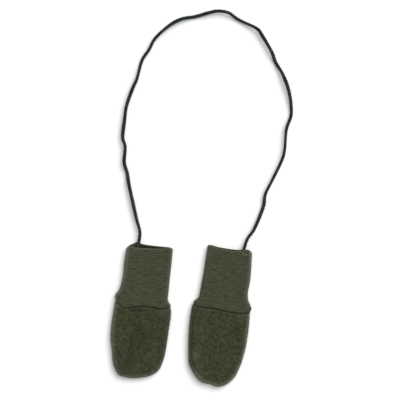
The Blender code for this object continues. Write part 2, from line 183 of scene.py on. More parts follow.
LEFT_SEAM = [
    SeamRow(-31.0, 3.2), SeamRow(-26.0, 0.0), SeamRow(-20.5, -3.4), SeamRow(-14.5, -3.3),
    SeamRow(-8.0, -1.1), SeamRow(0.0, 0.5), SeamRow(10.0, 0.7), SeamRow(19.0, 0.2),
    SeamRow(27.0, 0.9), SeamRow(31.0, 2.0),
]
RIGHT_SEAM = [
    SeamRow(-32.0, 2.0), SeamRow(-25.0, -0.3), SeamRow(-16.0, -0.4), SeamRow(-7.0, 0.0),
    SeamRow(0.0, -0.8), SeamRow(7.0, -1.6), SeamRow(15.0, -1.9), SeamRow(23.0, -1.6),
    SeamRow(31.0, 0.4),
]
LEFT_CUFF = [
    CuffRow(0.0, 29.4, 29.9, 7.0), CuffRow(3.0, 30.2, 29.9, 7.2), CuffRow(6.0, 30.7, 28.0, 7.1),
    CuffRow(9.5, 30.0, 26.2, 7.0), CuffRow(14.0, 27.6, 26.0, 6.9), CuffRow(21.0, 26.0, 25.8, 6.9),
    CuffRow(33.0, 25.0, 25.5, 7.0), CuffRow(48.0, 25.3, 25.4, 7.2), CuffRow(64.0, 24.8, 25.0, 7.4),
]
RIGHT_CUFF = [
    CuffRow(0.0, 31.3, 30.4, 7.0), CuffRow(3.0, 31.3, 31.3, 7.2), CuffRow(5.5, 29.4, 31.0, 7.1),
    CuffRow(9.0, 26.6, 29.2, 7.0), CuffRow(14.0, 26.0, 26.6, 6.9), CuffRow(21.0, 25.6, 25.4, 6.9),
    CuffRow(33.0, 24.7, 26.1, 7.0), CuffRow(48.0, 24.4, 25.6, 7.2), CuffRow(64.0, 23.8, 24.4, 7.4),
]
LEFT_MOUTH = [
    MouthRow(-25.0, 59.8, 60.2), MouthRow(-22.5, 62.0, 63.2), MouthRow(-19.0, 62.2, 65.6),
    MouthRow(-14.5, 61.3, 68.0), MouthRow(-8.0, 61.6, 66.9), MouthRow(0.0, 62.5, 66.4),
    MouthRow(12.0, 63.8, 66.4), MouthRow(20.0, 65.4, 66.4), MouthRow(25.2, 65.1, 65.8),
]
RIGHT_MOUTH = [
    MouthRow(-24.5, 66.2, 66.9), MouthRow(-20.0, 66.3, 67.0), MouthRow(-12.0, 64.5, 65.9),
    MouthRow(-4.0, 63.9, 65.5), MouthRow(4.0, 63.8, 65.4), MouthRow(10.0, 64.6, 65.7),
    MouthRow(16.0, 65.8, 66.6), MouthRow(20.0, 66.1, 66.9), MouthRow(22.7, 65.2, 65.8),
    MouthRow(25.0, 62.4, 62.9),
]
MITTENS = [
    Mitten("left", (-41.8, 9.2), 6.9, LEFT_SEAM, LEFT_CUFF, LEFT_MOUTH, 1.0, 0.85, -2.0),
    Mitten("right", (43.8, 6.1), 7.3, RIGHT_SEAM, RIGHT_CUFF, RIGHT_MOUTH, 0.58, 1.15, 10.0),
]

LEFT_CORD_ACROSS = -12.7    # of the cord's middle where it enters the left cuff

# Where the cord's ends are sewn down: stitches through the right cuff's upper layer, and over the
# cord on the left cuff's under layer. Each row is one thread's turning points.
StitchPoint = namedtuple("StitchPoint", "across along")
RIGHT_TACK = [
    StitchPoint(14.0, 60.3), StitchPoint(14.5, 63.4), StitchPoint(16.2, 60.1),
    StitchPoint(17.7, 63.1), StitchPoint(18.5, 60.6), StitchPoint(20.0, 62.2),
    StitchPoint(22.7, 61.0), StitchPoint(21.2, 64.3),
]
RIGHT_TACK_TOP = [StitchPoint(15.2, 66.3), StitchPoint(15.8, 64.7)]
# Strokes of painted shadow between the right tack's stitches, in the seam yarn's dark colour.
RIGHT_TACK_SHADE = [
    [StitchPoint(15.9, 64.4), StitchPoint(16.3, 62.7)],
    [StitchPoint(19.3, 61.6), StitchPoint(19.6, 60.1)],
    [StitchPoint(18.9, 63.3), StitchPoint(20.6, 63.7)],
]
LEFT_TACK = [
    StitchPoint(-15.0, 66.0), StitchPoint(-10.5, 65.7), StitchPoint(-14.8, 65.0),
    StitchPoint(-10.4, 64.5), StitchPoint(-14.6, 63.9), StitchPoint(-10.5, 63.1),
]

# ---- random draws ------------------------------------------------------------------------------
# Where each kind's draws start. A mitten's number, 0 or 1, is added to those of its pieces.
SEEDS = {"cord": 3, "cord_fuzz": 5, "back": 1, "palm": 3, "back_fuzz": 11, "palm_fuzz": 21,
         "cuff_fuzz": 31}
CURL_SEED = 0.5             # added for the felt's curls
SEED_SHIFT = (17.3, 5.9, 11.1)  # how far apart two seeds lie in the noise

# ---- boiled wool -------------------------------------------------------------------------------
BACK_VOXEL = 0.55
PALM_VOXEL = 0.70
MERGE_DISTANCE = 0.001
SMOOTH_ROUNDS = 8
SMOOTH_SHARE = 0.5          # of the way to its neighbours' middle that a point moves in a round
LUMP_SIZE = 2.7             # of the felt's soft lumps
LUMP_RISE = 0.22
CURL_SIZE = 1.1             # of the fine curls on them
CURL_RISE = 0.08
LUMP_PAINTED_LIGHT = 0.6          # painted light: how much lighter the felt is on a lump, and on a curl
CURL_PAINTED_LIGHT = 0.7
PANEL_END = 2.0             # of a panel at the cuff seam, which isn't its sewn edge
EDGE_UPRIGHT = 0.3          # how far up or down a point of the sewn edge may face
# Creases and puckers are at their full depth where the cloth lies flat. Elsewhere their share of it
# is FLAT_GAIN times how far up or down the cloth faces, less FLAT_LEAST.
FLAT_GAIN = 1.6
FLAT_LEAST = 0.4
TIP_START = -45.0           # along, where the body's sides begin to turn round the tip
GATHER_SPACING = 2.9        # of the puckers under the cuff seam
GATHER_RISE = 0.38
GATHER_DRAWN = 16.0         # how long they are drawn out
GATHER_START = (0.2, 1.6)   # below the seam, where they rise
GATHER_FULL = 3.0           # and where they fade
GATHER_REACH = 9.0
GATHER_MOST = 0.8           # more of them where the seam is gathered most
GATHER_SPAN = 9.0
SEAM_SHADE = 1.1            # painted shade: how much darker the felt is where it turns down to the cuff seam
SEAM_SHADE_REACH = 1.8

# Teased fibres and painted sheen make the cloth pale over an edge, most on the sides worn outwards.
BLOOM_LEAST = 0.19
BLOOM_POWER = 0.62          # of how far from level the cloth faces, which is how pale it is
BLOOM_FADE = 1.8            # how far in from the edge the teased felt and painted sheen fade
BLOOM_INNER = 0.52          # its strength there
BLOOM_UNDER = 0.40          # share of the teased pale and painted sheen on cloth that faces down
BLOOM_TURN = (-0.3, 0.1)    # how far up a point faces, from there to cloth that faces up
RIM_WEAR = 0.55             # how far the firm felt stands back where loose fibres make the edge
RIM_TURN = (0.05, 0.5)      # how far from level a point faces, where that begins and is full
NAP_EVEN = 0.12             # loose fibres on the flat, against 1 on a worn edge
NAP_INSIDE = -0.25          # a panel's points that face further in than this have none
CUFF_BLOOM_WIDTH = 5.5
CUFF_BLOOM_LEAST = 0.4      # share of it on the fuller end at the seam, above which it grows
CUFF_BLOOM_START = (4.0, 12.0)
CUFF_MOUTH_BLOOM = 0.50     # more of it near the mouth, which it reaches between these two
CUFF_MOUTH_NEAR = (42.0, 54.0)
CUFF_TURN_BLOOM = 0.6       # more of it right on the side's turn, over this width
CUFF_TURN_WIDTH = 0.8
CUFF_LIP_HIGHLIGHT = 0.30       # and a painted highlight on the fold at the mouth, this far round it
CUFF_LIP = 0.3
CUFF_LIP_WIDTH = 0.9

# A crease is a soft trough, or a ridge where its depth is negative: the mitten's side, the face that
# it is in, its middle, half its length, its heading from "across", its width and its depth.
CREASE_FULL = 0.35          # share of its reach over which it keeps its depth
CREASE_TOP = (0.60, 0.95)   # shares of a cuff's height from which its creases sink its upper layer
CREASE_UNDER = (0.05, 0.40)     # and up to which they raise its under layer
Crease = namedtuple("Crease", "side face across along reach heading width depth")
CREASES = [
    Crease("left", "back", -10.0, -55.0, 12.0, 62.0, 3.4, 0.35),
    Crease("left", "back", 14.0, -30.0, 15.0, 105.0, 4.6, 0.28),
    Crease("left", "back", 21.0, -58.0, 8.0, -50.0, 2.6, 0.30),
    Crease("left", "back", -21.0, -17.0, 10.0, 80.0, 3.8, 0.26),
    Crease("left", "palm", 8.0, -38.0, 16.0, 20.0, 4.2, 0.30),
    Crease("left", "palm", -12.0, -20.0, 9.0, 115.0, 3.0, 0.24),
    Crease("right", "back", 19.0, -31.0, 9.0, -10.0, 1.5, 0.42),
    Crease("right", "back", -14.0, -44.0, 14.0, 72.0, 4.4, 0.30),
    Crease("right", "back", -15.5, -70.0, 7.0, 40.0, 1.8, 0.45),
    Crease("right", "back", 8.0, -62.0, 11.0, 120.0, 3.6, 0.28),
    Crease("right", "palm", -6.0, -30.0, 13.0, 150.0, 4.0, 0.30),
    Crease("right", "palm", 14.0, -55.0, 10.0, 60.0, 2.8, 0.26),
    Crease("left", "cuff top", -27.2, 6.0, 4.0, 96.0, 0.7, 1.30),
    Crease("left", "cuff top", 8.0, 33.0, 19.0, 8.0, 3.2, 0.40),
    Crease("left", "cuff top", -12.0, 14.0, 10.0, -20.0, 2.2, 0.36),
    Crease("left", "cuff under", 4.0, 24.0, 16.0, 15.0, 3.0, 0.45),
    Crease("left", "cuff under", -9.0, 46.0, 12.0, 100.0, 3.0, 0.30),
    Crease("right", "cuff top", -27.7, 6.5, 4.5, 46.0, 0.6, 1.00),
    Crease("right", "cuff top", 25.4, 17.0, 8.5, 86.0, 0.6, 0.90),
    Crease("right", "cuff top", 23.8, 17.5, 9.5, 86.0, 0.9, -0.30),
    Crease("right", "cuff top", -8.0, 28.0, 15.0, 20.0, 3.6, 0.45),
    Crease("right", "cuff under", 2.0, 30.0, 17.0, -8.0, 3.4, 0.45),
    Crease("right", "cuff under", 12.0, 50.0, 10.0, 80.0, 2.6, 0.32),
]

# Where the right back's sewn edge shows as a fine dark line, from near the tip to the cuff seam.
EDGE_SEAM = [
    SeamRow(-22.0, -67.0), SeamRow(-24.6, -60.0), SeamRow(-27.0, -52.0), SeamRow(-28.2, -42.0),
    SeamRow(-28.8, -33.0), SeamRow(-29.6, -22.0), SeamRow(-30.1, -14.0), SeamRow(-29.4, -8.0),
]
EDGE_SEAM_WIDTH = 0.8
EDGE_SEAM_DEPTH = 0.60
EDGE_SEAM_SHADE = 1.8       # painted shade: how much darker the felt is in it, the line's groove
EDGE_SEAM_CLEAN = 0.8       # share of the pale teased fibres and painted sheen that the line is free of
EDGE_SEAM_FADE = 5.0        # over which each end of it runs out

# Places on the felt that are rubbed pale.
RubbedPatch = namedtuple("RubbedPatch", "side face across along radius strength")
RUBBED = [
    RubbedPatch("right", "back", -22.0, -53.0, 5.0, 0.07),
    RubbedPatch("right", "back", -19.5, -70.5, 4.5, 0.12),
    RubbedPatch("right", "back", -14.5, -76.0, 5.0, 0.12),
    RubbedPatch("right", "back", 4.0, -35.0, 34.0, 0.016),
    RubbedPatch("right", "back", 21.5, -6.5, 5.0, 0.08),
    RubbedPatch("left", "back", 23.0, -4.0, 4.0, 0.07),
    RubbedPatch("right", "palm", 9.0, -52.0, 12.0, 0.10),
    RubbedPatch("left", "palm", -6.0, -60.0, 12.0, 0.10),
]

# ---- loose fibres ------------------------------------------------------------------------------
Fuzz = namedtuple("Fuzz", "count length width lift")
BACK_FUZZ = Fuzz(15000, 1.7, 0.060, 0.44)
PALM_FUZZ = Fuzz(7500, 1.7, 0.060, 0.44)
CUFF_FUZZ = Fuzz(4200, 1.0, 0.045, 0.50)
CORD_FUZZ = Fuzz(2600, 1.1, 0.040, 0.55)
FUZZ_FLOOR = 0.5            # no fibre roots lower than this, where the cloth lies on the surface
FUZZ_CLEAR = 0.05           # and none of its points comes lower than this
FUZZ_LENGTHS = (0.45, 1.35)     # a fibre's length, as shares of its kind's
FUZZ_CURL = 0.5             # how far to each side a fibre bends, as a share of its length
FUZZ_OVER = 0.6             # of half a turn, in which it rises and then lies over
FUZZ_WIDTHS = {0.0: 1.0, 0.35: 0.85, 0.70: 0.55}    # share of its width at shares of its length
FUZZ_FACES = [(0, 1, 3, 2), (2, 3, 5, 4), (4, 5, 6)]    # between those places' sides and its tip

# ---- colours and finishes ----------------------------------------------------------------------
FLEECE_LIGHT = (0.0505, 0.0585, 0.0280)
FLEECE_DARK = (0.010, 0.013, 0.006)
# next: the pale of teased fibres with painted sheen, for the felt's edges
FLEECE_WEAR_AND_SHEEN = (0.290, 0.300, 0.235)
FLEECE_FLECK = (0.110, 0.118, 0.066)
FLEECE_SHEEN = (0.80, 0.82, 0.62)
RIB_LIGHT = (0.0605, 0.0675, 0.038)
RIB_DARK = (0.026, 0.030, 0.017)
# next: the pale of teased fibres with painted sheen, for the rib's edges
RIB_WEAR_AND_SHEEN = (0.146, 0.152, 0.124)
RIB_SHEEN = (0.82, 0.84, 0.72)
RIB_SHEEN_SHARE = 0.4
# painted shade: how dark the unlit inside of a cuff's mouth is, as a share of the rib's dark colour
LINING_PAINTED_SHADE = 0.42
# the seam yarn, darker than the cloth: partly painted shade for the seam's groove
SEAM_LIGHT = (0.034, 0.035, 0.013)
SEAM_DARK = (0.015, 0.016, 0.005)
YARN_LIGHT = (0.050, 0.070, 0.047)
YARN_DARK = (0.011, 0.017, 0.011)
YARN_SHEEN = (0.80, 0.88, 0.80)
THREAD_LIGHT = (0.170, 0.185, 0.105)
THREAD_DARK = (0.090, 0.100, 0.052)
CLOTH_GLOSS = 0.12
SHEEN_ROUGHNESS = 0.20
MIX_COLOURS = (6, 7)        # the mix node's sockets for two colours
MIX_RESULT = 2              # and for the colour that comes out

# Blots of a noise: their size and how much finer detail they have.
Blots = namedtuple("Blots", "size detail")
BLOT_ROUGHNESS = 0.6
FELT_CURLS = Blots(2.8, 2.0)
FELT_HOLLOWS = Blots(3.6, 1.0)
FELT_PITS = Blots(2.0, 1.0)
FELT_CLOUDS = Blots(16.0, 2.0)
FELT_FLECKS = Blots(1.3, 1.0)
FELT_FIBRES = Blots(0.45, 4.0)
RIB_MELANGE = Blots(0.9, 3.0)
RIB_STREAKS = Blots(1.4, 1.0)
RIB_CLOUDS = Blots(14.0, 2.0)
YARN_FLECKS = Blots(1.6, 3.0)
YARN_PATCHES = Blots(9.0, 1.0)

# A pattern's values between start and end, spread out from low to high.
Tones = namedtuple("Tones", "start end low high")
CURL_TONES = Tones(0.28, 0.70, 0.30, 1.20)
HOLLOW_TONES = Tones(0.32, 0.50, 0.52, 1.0)
PIT_TONES = Tones(0.62, 0.74, 1.0, 0.45)
FELT_CLOUD_TONES = Tones(0.3, 0.7, 0.80, 1.10)
RELIEF_PAINTED_LIGHT = Tones(-1.0, 1.0, 0.60, 1.25)
FLECK_TONES = Tones(0.66, 0.80, 0.0, 0.35)
TEASED_AND_SHEEN_FELT = Tones(0.3, 0.7, 0.6, 1.0)
RIDGE_TONES = Tones(0.42, 0.24, 0.0, 1.0)
VALLEY_PAINTED_SHADE = Tones(0.0, 1.0, 0.86, 1.0)
MELANGE_TONES = Tones(0.3, 0.7, 0.62, 1.14)
STREAK_TONES = Tones(0.30, 0.68, 0.22, 1.14)
RIB_CLOUD_TONES = Tones(0.3, 0.7, 0.88, 1.06)
TEASED_AND_SHEEN_RIB = Tones(0.3, 0.7, 0.44, 0.63)
LINING_SHEEN = Tones(0.0, 1.0, RIB_SHEEN_SHARE, 0.0)
PLY_PAINTED_SHADE = Tones(-1.0, 1.0, 0.35, 1.0)
YARN_FLECK_TONES = Tones(0.45, 0.72, 0.0, 1.0)
YARN_PATCH_TONES = Tones(0.34, 0.66, 0.0, 2.0)

STITCH_BEND = 1.1           # how far a V-shaped stitch's sides lean, in courses for a rib's width
# painted light and shade on the stitches' relief
STITCH_PAINTED_LIGHT = 0.10
CURL_BUMP = 1.5             # of the curls, against 1 of the finest fibres

# Relief too fine for the mesh: its depth and strength.
Relief = namedtuple("Relief", "depth strength")
FELT_RELIEF = Relief(0.16, 0.9)
RIB_RELIEF = Relief(0.11, 0.6)
YARN_RELIEF = Relief(0.10, 0.8)

# A plain yarn, too thin to show how it is made, is blots of its dark and light colours.
PlainYarn = namedtuple("PlainYarn", "roughness sheen tint blots")
SEAM_YARN = PlainYarn(0.95, 0.0, (0.8, 0.8, 0.7), Blots(1.4, 2.0))
SEWING_THREAD = PlainYarn(0.75, 0.10, (0.9, 0.9, 0.8), Blots(0.8, 2.0))
LOOSE_FIBRE = PlainYarn(0.85, 0.20, (0.85, 0.88, 0.75), Blots(1.2, 2.0))


# ---- curves and tables -------------------------------------------------------------------------
def blend(value, start, end):
    """0 before start, 1 after end, and a smooth step between them."""
    t = np.clip((value - start) / (end - start), 0.0, 1.0)
    return t * t * (3.0 - 2.0 * t)


def read_table(rows, key, name, values):
    """A column of a table at values of its key, read from a smooth curve through its rows."""
    keys = np.array([getattr(row, key) for row in rows])
    column = np.array([getattr(row, name) for row in rows])
    slopes = np.empty(len(keys))
    slopes[1:-1] = (column[2:] - column[:-2]) / (keys[2:] - keys[:-2])
    slopes[0] = (column[1] - column[0]) / (keys[1] - keys[0])
    slopes[-1] = (column[-1] - column[-2]) / (keys[-1] - keys[-2])
    values = np.clip(values, keys[0], keys[-1])
    i = np.clip(np.searchsorted(keys, values) - 1, 0, len(keys) - 2)
    span = keys[i + 1] - keys[i]
    t = (values - keys[i]) / span
    return ((2 * t ** 3 - 3 * t ** 2 + 1) * column[i] + (t ** 3 - 2 * t ** 2 + t) * span * slopes[i]
            + (3 * t ** 2 - 2 * t ** 3) * column[i + 1] + (t ** 3 - t ** 2) * span * slopes[i + 1])


def smooth_line(points, step):
    """Points about a step apart along a smooth curve through the given ones."""
    points = np.array(points, dtype=float)
    ends = np.vstack([2 * points[0] - points[1], points, 2 * points[-1] - points[-2]])
    fine = []
    for p0, p1, p2, p3 in zip(ends[:-3], ends[1:-2], ends[2:-1], ends[3:]):
        for t in np.linspace(0.0, 1.0, CURVE_STEPS, endpoint=False):
            fine.append(0.5 * (2 * p1 + (p2 - p0) * t + (2 * p0 - 5 * p1 + 4 * p2 - p3) * t ** 2
                               + (3 * p1 - p0 - 3 * p2 + p3) * t ** 3))
    fine = np.array(fine + [points[-1]])
    lengths = line_lengths(fine)
    even = np.linspace(0.0, lengths[-1], round(lengths[-1] / step) + 1)
    return np.column_stack([np.interp(even, lengths, axis) for axis in fine.T])


def line_lengths(line):
    """How far along a line each of its points is."""
    return np.concatenate([[0.0], np.cumsum(np.linalg.norm(np.diff(line, axis=0), axis=1))])


def lumps(places, size, seed):
    """Soft noise from about -1 to 1 at each place, with lumps of this size."""
    shift = Vector([seed * part for part in SEED_SHIFT])
    return np.array([noise.noise(Vector(place) / size + shift) for place in places])


def marks_on(marks, mitten, face):
    """The creases or rubbed patches that lie on one face of a mitten."""
    return [mark for mark in marks if (mark.side, mark.face) == (mitten.side, face)]


# ---- objects and meshes ------------------------------------------------------------------------
def link_object(name, data):
    """An object of this data in the scene, at its origin."""
    made = bpy.data.objects.new(name, data)
    bpy.context.scene.collection.objects.link(made)
    return made


def free_to_data(name, mesh):
    """A bmesh as mesh data. The bmesh is given up."""
    data = bpy.data.meshes.new(name)
    mesh.to_mesh(data)
    mesh.free()
    return data


def ride_body(name, data, material):
    """A finished piece of the object from mesh data, riding on the CAD's body."""
    data.materials.append(material)
    piece = link_object(name, data)
    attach(piece, BODY)
    return piece


def add_piece(name, mesh, material):
    """A finished piece from a bmesh, smoothly shaded."""
    data = free_to_data(name, mesh)
    data.shade_smooth()
    return ride_body(name, data, material)


def write_attribute(piece, name, values):
    """Stores a value at each of a piece's points, for its finish or its fibres to read."""
    attribute = piece.data.attributes.new(name, "FLOAT", "POINT")
    attribute.data.foreach_set("value", values.astype(np.float32))


def read_attribute(data, name):
    """The values that a mesh's points have been given under this name."""
    values = np.zeros(len(data.vertices), np.float32)
    data.attributes[name].data.foreach_get("value", values)
    return values


def point_places(data):
    """A mesh's points in millimetres."""
    places = np.zeros(len(data.vertices) * 3, np.float32)
    data.vertices.foreach_get("co", places)
    return places.reshape(-1, 3).astype(float) / MM


def lay_grid(mesh, places, cloth):
    """A grid with a point at each of places[row, column]. Its UV map holds the cloth's own sizes."""
    rows, columns = places.shape[:2]
    pattern = mesh.loops.layers.uv.verify()
    made = bmesh.ops.create_grid(mesh, x_segments=columns - 1, y_segments=rows - 1, size=0.5)
    grid = {}
    for vertex in made["verts"]:
        column = round((vertex.co.x + 0.5) * (columns - 1))
        row = round((vertex.co.y + 0.5) * (rows - 1))
        grid[vertex] = row, column
    for vertex, cell in grid.items():
        vertex.co = places[cell] * MM
    for face in {face for vertex in made["verts"] for face in vertex.link_faces}:
        for loop in face.loops:
            loop[pattern].uv = cloth[grid[loop.vert]]


def lay_tube(mesh, line, outward, radius, sides):
    """A round tube along a line, whose first side faces outward. Its ends are closed."""
    ahead = np.gradient(line, axis=0)
    ahead /= np.linalg.norm(ahead, axis=1)[:, None]
    outward = outward - np.einsum("ij,ij->i", outward, ahead)[:, None] * ahead
    outward /= np.linalg.norm(outward, axis=1)[:, None]
    beside = np.cross(ahead, outward)
    angles = np.linspace(0.0, 2 * math.pi, sides + 1)
    radii = np.full(len(line), radius)
    radii[[0, -1]] *= TUBE_END
    rings = (line[:, None, :]
             + radii[:, None, None] * (np.cos(angles)[None, :, None] * outward[:, None, :]
                                       + np.sin(angles)[None, :, None] * beside[:, None, :]))
    along = np.broadcast_to(line_lengths(line)[:, None], rings.shape[:2])
    around = np.broadcast_to(np.linspace(0.0, 1.0, sides + 1)[None, :], rings.shape[:2])
    lay_grid(mesh, rings, np.stack([around, along * MM], axis=2))


def close_up(mesh):
    """Merges the joins of laid grids, fills open ends and turns the faces outwards."""
    bmesh.ops.remove_doubles(mesh, verts=mesh.verts, dist=MERGE_DISTANCE * MM)
    bmesh.ops.holes_fill(mesh, edges=[edge for edge in mesh.edges if edge.is_boundary], sides=0)
    bmesh.ops.recalc_face_normals(mesh, faces=mesh.faces)


# ---- materials ---------------------------------------------------------------------------------
class Finish:
    """A material's nodes, made one after another from left to right."""

    def __init__(self, name, roughness, sheen, sheen_tint):
        self.material = bpy.data.materials.new(name)
        self.material.use_nodes = True
        self.tree = self.material.node_tree
        self.shader = self.tree.nodes["Principled BSDF"]
        self.shader.inputs["Roughness"].default_value = roughness
        self.shader.inputs["Specular IOR Level"].default_value = CLOTH_GLOSS
        self.shader.inputs["Sheen Weight"].default_value = sheen
        self.shader.inputs["Sheen Roughness"].default_value = SHEEN_ROUGHNESS
        self.shader.inputs["Sheen Tint"].default_value = (*sheen_tint, 1.0)

    def node(self, kind, values=None, **settings):
        """A new node with these settings, and these values or sockets fed to its own."""
        made = self.tree.nodes.new(kind)
        for name, value in settings.items():
            setattr(made, name, value)
        for name, value in (values or {}).items():
            self.feed(made.inputs[name], value)
        return made

    def feed(self, socket, value):
        if isinstance(value, bpy.types.NodeSocket):
            self.tree.links.new(value, socket)
        else:
            socket.default_value = value

    def place(self):
        """Where a point is on the object, in metres."""
        return self.node("ShaderNodeTexCoord").outputs["Object"]

    def speckle(self, blots, vector=None, stretch=1.0, turn=0.0):
        """Noise from 0 to 1 in these blots, which may be drawn out along a heading."""
        drawn = self.node("ShaderNodeMapping", {"Vector": vector or self.place(),
                                                "Rotation": (0.0, 0.0, math.radians(turn)),
                                                "Scale": (stretch, 1.0, 1.0)},
                          vector_type="TEXTURE")
        made = self.node("ShaderNodeTexNoise", {"Vector": drawn.outputs["Vector"],
                                                "Scale": 1.0 / (blots.size * MM),
                                                "Detail": blots.detail,
                                                "Roughness": BLOT_ROUGHNESS})
        return made.outputs["Fac"]

    def spread(self, value, tones):
        """A value between the tones' start and end, spread out from their low to their high."""
        made = self.node("ShaderNodeMapRange", {"Value": value, "From Min": tones.start,
                                                "From Max": tones.end, "To Min": tones.low,
                                                "To Max": tones.high})
        return made.outputs["Result"]

    def math(self, operation, first, second=0.0):
        made = self.node("ShaderNodeMath", operation=operation)
        self.feed(made.inputs[0], first)
        self.feed(made.inputs[1], second)
        return made.outputs[0]

    def product(self, first, *others):
        for value in others:
            first = self.math("MULTIPLY", first, value)
        return first

    def waves(self, turns):
        """A sine with one wave for each whole turn."""
        return self.math("SINE", self.product(turns, 2 * math.pi))

    def mix(self, share, first, second):
        made = self.node("ShaderNodeMix", data_type="RGBA")
        self.feed(made.inputs["Factor"], share)
        for number, value in zip(MIX_COLOURS, (first, second)):
            colour = value if isinstance(value, bpy.types.NodeSocket) else (*value, 1.0)
            self.feed(made.inputs[number], colour)
        return made.outputs[MIX_RESULT]

    def attribute(self, name):
        return self.node("ShaderNodeAttribute", attribute_name=name).outputs["Fac"]

    def cloth(self):
        """The UV map, which holds the cloth's own sizes, whole and as its two parts."""
        pattern = self.node("ShaderNodeUVMap").outputs["UV"]
        axes = self.node("ShaderNodeSeparateXYZ", {"Vector": pattern})
        return pattern, axes.outputs["X"], axes.outputs["Y"]

    def bump(self, height, relief):
        made = self.node("ShaderNodeBump", {"Height": height, "Distance": relief.depth * MM,
                                            "Strength": relief.strength})
        self.feed(self.shader.inputs["Normal"], made.outputs["Normal"])

    def colour(self, socket):
        self.feed(self.shader.inputs["Base Color"], socket)


def boiled_wool():
    """Felted knit: matt, mottled, dark pits between pale curls, teased edges with painted sheen."""
    finish = Finish("boiled_wool", roughness=0.95, sheen=1.0, sheen_tint=FLEECE_SHEEN)
    curls = finish.speckle(FELT_CURLS)
    # painted light and shade: the "relief" attribute, lighter on lumps and curls, darker in seam
    # grooves
    shade = finish.product(finish.spread(curls, CURL_TONES),
                           finish.spread(finish.speckle(FELT_HOLLOWS), HOLLOW_TONES),
                           finish.spread(finish.speckle(FELT_PITS), PIT_TONES),
                           finish.spread(finish.speckle(FELT_CLOUDS), FELT_CLOUD_TONES),
                           finish.spread(finish.attribute("relief"), RELIEF_PAINTED_LIGHT))
    felt = finish.mix(shade, FLEECE_DARK, FLEECE_LIGHT)
    flecks = finish.spread(finish.speckle(FELT_FLECKS), FLECK_TONES)
    felt = finish.mix(flecks, felt, FLEECE_FLECK)
    # pale teased fibres and painted sheen at the edges, read from the cloth's attribute
    teased = finish.product(finish.attribute("wear_and_sheen"), finish.spread(curls, TEASED_AND_SHEEN_FELT))
    finish.colour(finish.mix(teased, felt, FLEECE_WEAR_AND_SHEEN))
    fibres = finish.speckle(FELT_FIBRES)
    finish.bump(finish.math("ADD", fibres, finish.product(curls, CURL_BUMP)), FELT_RELIEF)
    return finish.material


def rib_knit():
    """Fine rib: V-stitch ridges with painted light, valleys with painted shade, melange yarn, slack
    courses.
    """
    finish = Finish("rib_knit", roughness=0.92, sheen=RIB_SHEEN_SHARE, sheen_tint=RIB_SHEEN)
    cloth, around, along = finish.cloth()
    ribs = finish.math("DIVIDE", around, RIB_PITCH * MM)
    from_ridge = finish.math("ABSOLUTE", finish.math("SUBTRACT", finish.math("FRACT", ribs), 0.5))
    courses = finish.math("ADD", finish.math("DIVIDE", along, COURSE * MM),
                          finish.product(from_ridge, STITCH_BEND))
    ridge = finish.spread(from_ridge, RIDGE_TONES)
    stitches = finish.product(finish.waves(courses), ridge)
    melange = finish.speckle(RIB_MELANGE)
    streaks = finish.speckle(RIB_STREAKS, cloth, STREAK_STRETCH, COURSE_SKEW)
    # painted shade in the rib's valleys, then painted light and shade on the stitches
    shade = finish.product(finish.spread(ridge, VALLEY_PAINTED_SHADE),
                           finish.spread(melange, MELANGE_TONES),
                           finish.spread(streaks, STREAK_TONES),
                           finish.spread(finish.speckle(RIB_CLOUDS), RIB_CLOUD_TONES))
    shade = finish.math("ADD", shade, finish.product(stitches, STITCH_PAINTED_LIGHT))
    outside = finish.mix(shade, RIB_DARK, RIB_LIGHT)
    # pale teased fibres and painted sheen at the edges, read from the cloth's attribute
    teased = finish.product(finish.attribute("wear_and_sheen"), finish.spread(melange, TEASED_AND_SHEEN_RIB))
    outside = finish.mix(teased, outside, RIB_WEAR_AND_SHEEN)
    # painted shade: the "lining" attribute darkens the cuff's unlit inside towards this colour
    inside = tuple(channel * LINING_PAINTED_SHADE for channel in RIB_DARK)
    lining = finish.attribute("lining")
    finish.colour(finish.mix(lining, outside, inside))
    finish.feed(finish.shader.inputs["Sheen Weight"], finish.spread(lining, LINING_SHEEN))
    finish.bump(finish.math("ADD", stitches, melange), RIB_RELIEF)
    return finish.material


def cord_yarn():
    """Hard-twisted yarn: each strand's plies, painted lighter on their crowns and darker between."""
    finish = Finish("cord_yarn", roughness=0.80, sheen=0.15, sheen_tint=YARN_SHEEN)
    _, around, along = finish.cloth()
    turns = finish.math("SUBTRACT", finish.product(around, PLY_COUNT),
                        finish.math("DIVIDE", along, PLY_PITCH * MM))
    plies = finish.waves(turns)
    shade = finish.product(finish.spread(plies, PLY_PAINTED_SHADE),
                           finish.spread(finish.speckle(YARN_FLECKS), YARN_FLECK_TONES),
                           finish.spread(finish.speckle(YARN_PATCHES), YARN_PATCH_TONES))
    finish.colour(finish.mix(shade, YARN_DARK, YARN_LIGHT))
    finish.bump(plies, YARN_RELIEF)
    return finish.material


def plain_yarn(name, kind, light, dark):
    """Yarn, thread or fibre in blots of two colours."""
    finish = Finish(name, kind.roughness, kind.sheen, kind.tint)
    finish.colour(finish.mix(finish.speckle(kind.blots), dark, light))
    return finish.material


# ---- camera, floor and light -------------------------------------------------------------------
def set_camera():
    lens = bpy.data.cameras.new("camera")
    lens.sensor_width = SENSOR_WIDTH
    lens.lens = SENSOR_WIDTH * CAMERA_HEIGHT / VIEW_WIDTH
    lens.clip_end = CAMERA_REACH * MM
    camera = link_object("camera", lens)
    camera.location = (VIEW_CENTRE[0] * MM, VIEW_CENTRE[1] * MM, CAMERA_HEIGHT * MM)
    bpy.context.scene.camera = camera


